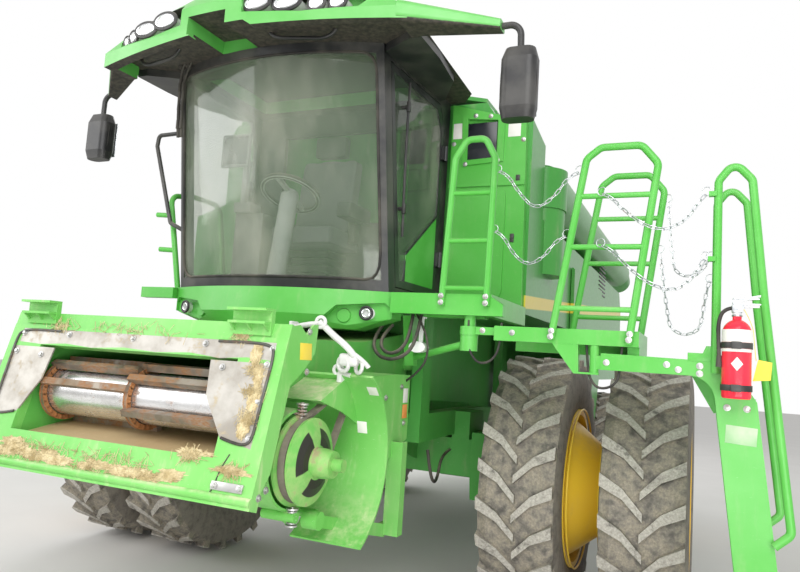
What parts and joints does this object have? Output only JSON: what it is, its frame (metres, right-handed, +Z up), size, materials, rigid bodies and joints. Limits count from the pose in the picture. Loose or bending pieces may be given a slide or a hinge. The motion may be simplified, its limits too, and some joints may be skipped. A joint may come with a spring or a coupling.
{
  "type": "combine harvester",
  "caption": "Combine harvester without header: cab, grain tank, folded unloading auger, raised feeder house, dual front wheels, side landing and swing ladder.",
  "frame": {"origin": "ground level under the centre of the whole machine's footprint", "axes": "+Z up, -Y towards the machine's front, +X towards its left side"},
  "size_m": [5.5615, 8.8579, 3.97],
  "materials": {
    "black_plastic": "satin",
    "glass": "gloss",
    "green_paint": "gloss",
    "dark_steel": "satin",
    "bright_steel": "polished",
    "red_paint": "gloss",
    "seat_fabric": "matte",
    "galvanised": "satin",
    "tyre_rubber": "matte",
    "yellow_paint": "gloss",
    "lamp": "gloss"
  },
  "bodies": {
    "root": {"cab_roof": "green_paint", "cab_shell": "black_plastic", "cab_windows": "glass", "control_console": "black_plastic", "engine_block": "dark_steel", "engine_hood": "green_paint", "front_axle": "green_paint", "front_fascia": "green_paint", "grain_tank": "green_paint", "landing": "green_paint", "main_frame": "green_paint", "mirrors": "black_plastic", "operator_seat": "seat_fabric", "platform_railings": "green_paint", "rear_axle": "green_paint", "rear_body": "green_paint", "rear_ladder": "green_paint", "right_platform": "green_paint", "safety_chains": "galvanised", "steering_column": "black_plastic", "straw_chopper": "green_paint", "swing_platform": "green_paint", "tail_hood": "green_paint", "threshing_housing": "green_paint", "tower_panel": "green_paint", "work_lamps": "lamp"},
    "front_wheels_left": {"tyre_front_left_inner": "tyre_rubber", "tyre_front_left_outer": "tyre_rubber", "wheel_front_left": "yellow_paint"},
    "front_wheels_right": {"tyre_front_right_inner": "tyre_rubber", "tyre_front_right_outer": "tyre_rubber", "wheel_front_right": "yellow_paint"},
    "knuckle_left": {"steering_knuckle_left": "green_paint"},
    "knuckle_right": {"steering_knuckle_right": "green_paint"},
    "rear_wheel_left": {"tyre_rear_left_steered": "tyre_rubber", "wheel_rear_left": "yellow_paint"},
    "rear_wheel_right": {"tyre_rear_right_steered": "tyre_rubber", "wheel_rear_right": "yellow_paint"},
    "feeder": {"feeder_house": "green_paint", "feeder_face": "green_paint", "feeder_side_shield": "green_paint", "feeder_wear_plates": "bright_steel", "feeder_chain": "dark_steel"},
    "drum": {"feeder_drum": "bright_steel"},
    "drive_pulley": {"feeder_drive_pulley": "dark_steel"},
    "lift_barrels": {"lift_cylinder_barrels": "green_paint"},
    "lift_rods": {"lift_cylinder_rods": "bright_steel"},
    "door": {"cab_door": "black_plastic", "cab_door_glass": "glass"},
    "ladder": {"ladder": "green_paint", "ladder_handrails": "green_paint", "fire_extinguisher": "red_paint"},
    "auger": {"unloading_auger": "green_paint"},
    "tank_cover_left": {"tank_cover_left": "green_paint"},
    "tank_cover_right": {"tank_cover_right": "green_paint"},
    "side_panel_left": {"side_panel_left": "green_paint"},
    "side_panel_right": {"side_panel_right": "green_paint"},
    "spreader_left": {"spreader_disc_left": "green_paint"},
    "spreader_right": {"spreader_disc_right": "green_paint"},
    "screen": {"radiator_screen": "dark_steel"}
  },
  "joints": [
    {"name": "front_wheels_left_spin", "type": "hinge", "parent": "root", "child": "front_wheels_left", "pos_m": [-0.234, -1.571, 0.937], "axis": [1, 0, 0], "continuous": true},
    {"name": "front_wheels_right_spin", "type": "hinge", "parent": "root", "child": "front_wheels_right", "pos_m": [-0.234, -1.571, 0.937], "axis": [1, 0, 0], "continuous": true},
    {"name": "steer_left", "type": "hinge", "parent": "root", "child": "knuckle_left", "pos_m": [0.896, 1.979, 0.77], "axis": [0, 0, 1], "range_deg": [-32, 32]},
    {"name": "steer_right", "type": "hinge", "parent": "root", "child": "knuckle_right", "pos_m": [-1.364, 1.979, 0.77], "axis": [0, 0, 1], "range_deg": [-32, 32]},
    {"name": "rear_wheel_left_spin", "type": "hinge", "parent": "knuckle_left", "child": "rear_wheel_left", "pos_m": [1.246, 1.979, 0.77], "axis": [1, 0, 0], "continuous": true},
    {"name": "rear_wheel_right_spin", "type": "hinge", "parent": "knuckle_right", "child": "rear_wheel_right", "pos_m": [-1.714, 1.979, 0.77], "axis": [1, 0, 0], "continuous": true},
    {"name": "feeder_lift", "type": "hinge", "parent": "root", "child": "feeder", "pos_m": [-0.234, -2.391, 1.76], "axis": [1, 0, 0], "range_deg": [-4, 22]},
    {"name": "lift_barrels_tilt", "type": "hinge", "parent": "root", "child": "lift_barrels", "pos_m": [-0.234, -1.991, 1.16], "axis": [1, 0, 0], "range_deg": [-3.04, 16.71]},
    {"name": "lift_rods_slide", "type": "slide", "parent": "lift_barrels", "child": "lift_rods", "axis": [0, -0.9995, 0.0304], "range_m": [-0.2453, 0.0446]},
    {"name": "drum_spin", "type": "hinge", "parent": "feeder", "child": "drum", "pos_m": [-0.234, -4.10486, 1.50373], "axis": [1, 0, 0], "continuous": true},
    {"name": "drive_pulley_spin", "type": "hinge", "parent": "feeder", "child": "drive_pulley", "pos_m": [-0.234, -3.991, 1.28], "axis": [1, 0, 0], "continuous": true},
    {"name": "cab_door_swing", "type": "hinge", "parent": "root", "child": "door", "pos_m": [0.631, -2.309, 2.232], "axis": [0, 0, 1], "range_deg": [0, 80]},
    {"name": "ladder_swing", "type": "hinge", "parent": "root", "child": "ladder", "pos_m": [1.841, -3.066, 1.878], "axis": [0, 0, -1], "range_deg": [0, 90]},
    {"name": "auger_swing", "type": "hinge", "parent": "root", "child": "auger", "pos_m": [1.161, -1.511, 3.02], "axis": [0, 0, -1], "range_deg": [0, 105]},
    {"name": "tank_cover_left_open", "type": "hinge", "parent": "root", "child": "tank_cover_left", "pos_m": [0.876, -1.571, 3.7143], "axis": [0, 1, 0], "range_deg": [0, 100]},
    {"name": "tank_cover_right_open", "type": "hinge", "parent": "root", "child": "tank_cover_right", "pos_m": [-1.344, -1.571, 3.7143], "axis": [0, -1, 0], "range_deg": [0, 100]},
    {"name": "side_panel_left_lift", "type": "hinge", "parent": "root", "child": "side_panel_left", "pos_m": [1.2503, 0.419, 2.71], "axis": [0, -1, 0], "range_deg": [0, 70]},
    {"name": "side_panel_right_lift", "type": "hinge", "parent": "root", "child": "side_panel_right", "pos_m": [-1.7183, 0.419, 2.71], "axis": [0, 1, 0], "range_deg": [0, 70]},
    {"name": "spreader_left_spin", "type": "hinge", "parent": "root", "child": "spreader_left", "pos_m": [0.156, 4.069, 0.83], "axis": [0, 0, 1], "continuous": true},
    {"name": "spreader_right_spin", "type": "hinge", "parent": "root", "child": "spreader_right", "pos_m": [-0.624, 4.069, 0.83], "axis": [0, 0, 1], "continuous": true},
    {"name": "screen_spin", "type": "hinge", "parent": "root", "child": "screen", "pos_m": [-1.384, 1.829, 2.75], "axis": [1, 0, 0], "continuous": true}
  ],
  "couplings": [
    {"joint": "steer_right", "follows": "steer_left", "ratio": 1},
    {"joint": "lift_barrels_tilt", "follows": "feeder_lift", "ratio": 0.75971},
    {"joint": "lift_rods_slide", "follows": "feeder_lift", "m_per_rad": -0.63883}
  ]
}
